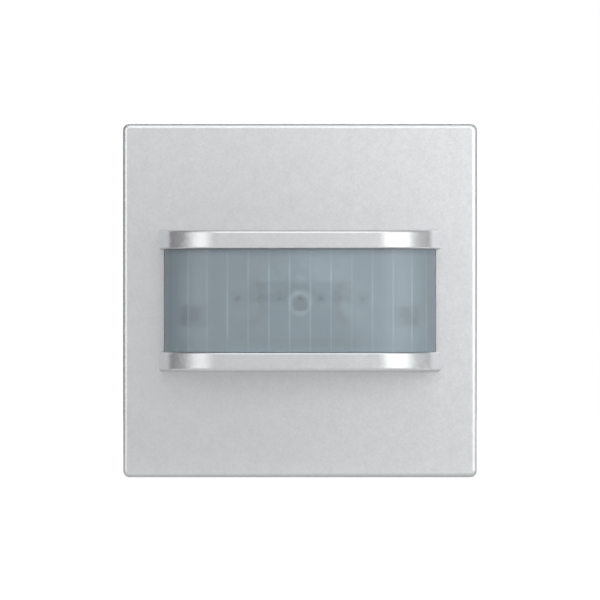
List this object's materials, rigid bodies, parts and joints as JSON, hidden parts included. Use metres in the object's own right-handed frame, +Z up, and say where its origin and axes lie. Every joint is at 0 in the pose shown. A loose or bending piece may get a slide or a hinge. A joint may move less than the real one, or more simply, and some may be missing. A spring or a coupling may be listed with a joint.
{
  "type": "motion detector",
  "caption": "Flush-mounted passive infrared motion detector head: square silver plate, bowed hood with two rails and a milky lens, latched neck with setting dials and plug.",
  "frame": {"origin": "centre of the cover plate's rear rim, the plane that rests on the mounting ring", "axes": "+X to the right as seen from the front, +Z up, +Y into the wall; the lens faces -Y"},
  "size_m": [0.063, 0.0421, 0.063],
  "materials": {
    "silver_lacquer": "satin metallic lacquer on a plastic moulding",
    "lens_polyethylene": "milky blue-grey translucent polyethylene",
    "black_plastic": "fine matt moulded surface",
    "anthracite_plastic": "fine spark-eroded moulded surface",
    "white_plastic": "smooth moulded surface",
    "board_laminate": "green solder mask over glass laminate",
    "chip_epoxy": "moulded epoxy",
    "passive_ceramic": "fired ceramic with tinned ends",
    "nickel_plate": "satin nickel plate",
    "gold_contact": "gold-plated contact",
    "silicon_filter": "polished coated silicon",
    "led_epoxy": "milky clear epoxy",
    "capacitor_can": "drawn aluminium can",
    "spring_steel": "rolled stainless spring strip",
    "zinc_screw": "bright zinc plate",
    "blue_trimmer": "moulded thermoset"
  },
  "bodies": {
    "head": {"cover_plate": "silver_lacquer", "upper_rail": "silver_lacquer", "lower_rail": "silver_lacquer", "fresnel_lens": "lens_polyethylene", "lens_frame": "black_plastic", "sensor_carrier": "black_plastic", "light_tube": "white_plastic", "light_sensor": "chip_epoxy", "status_led": "led_epoxy", "status_led_leads": "nickel_plate", "sensor_board": "board_laminate", "controller_chip": "chip_epoxy", "crystal": "nickel_plate", "sensor_board_parts": "passive_ceramic", "board_link": "black_plastic", "board_link_pins": "gold_contact", "control_board": "board_laminate", "capacitors": "capacitor_can", "plug_base": "black_plastic", "plug_pins": "gold_contact", "rear_housing": "anthracite_plastic", "housing_screws": "zinc_screw", "left_pyro_can": "nickel_plate", "left_pyro_filter": "silicon_filter", "left_pyro_header": "gold_contact", "left_amplifier": "chip_epoxy", "right_pyro_can": "nickel_plate", "right_pyro_filter": "silicon_filter", "right_pyro_header": "gold_contact", "right_amplifier": "chip_epoxy", "time_trimmer": "blue_trimmer", "lux_trimmer": "blue_trimmer", "range_trimmer": "blue_trimmer"},
    "time_dial": {"time_dial": "white_plastic"},
    "lux_dial": {"lux_dial": "white_plastic"},
    "range_dial": {"range_dial": "white_plastic"},
    "upper_left_latch": {"upper_left_latch": "spring_steel"},
    "upper_right_latch": {"upper_right_latch": "spring_steel"},
    "lower_left_latch": {"lower_left_latch": "spring_steel"},
    "lower_right_latch": {"lower_right_latch": "spring_steel"}
  },
  "joints": [
    {"name": "time_dial_turn", "type": "hinge", "parent": "head", "child": "time_dial", "pos_m": [-0.0105, 0.0087, -0.0105], "axis": [0, 1, 0], "range_deg": [-135, 135]},
    {"name": "lux_dial_turn", "type": "hinge", "parent": "head", "child": "lux_dial", "pos_m": [0, 0.0087, -0.0105], "axis": [0, 1, 0], "range_deg": [-135, 135]},
    {"name": "range_dial_turn", "type": "hinge", "parent": "head", "child": "range_dial", "pos_m": [0.0105, 0.0087, -0.0105], "axis": [0, 1, 0], "range_deg": [-135, 135]},
    {"name": "upper_left_latch_press", "type": "hinge", "parent": "head", "child": "upper_left_latch", "pos_m": [-0.02295, -0.0028, 0.011], "axis": [0, 0, -1], "range_deg": [0, 11], "stiffness_Nm_per_rad": 0.15},
    {"name": "upper_right_latch_press", "type": "hinge", "parent": "head", "child": "upper_right_latch", "pos_m": [0.02295, -0.0028, 0.011], "axis": [0, 0, 1], "range_deg": [0, 11], "stiffness_Nm_per_rad": 0.15},
    {"name": "lower_left_latch_press", "type": "hinge", "parent": "head", "child": "lower_left_latch", "pos_m": [-0.02295, -0.0028, -0.011], "axis": [0, 0, -1], "range_deg": [0, 11], "stiffness_Nm_per_rad": 0.15},
    {"name": "lower_right_latch_press", "type": "hinge", "parent": "head", "child": "lower_right_latch", "pos_m": [0.02295, -0.0028, -0.011], "axis": [0, 0, 1], "range_deg": [0, 11], "stiffness_Nm_per_rad": 0.15}
  ]
}
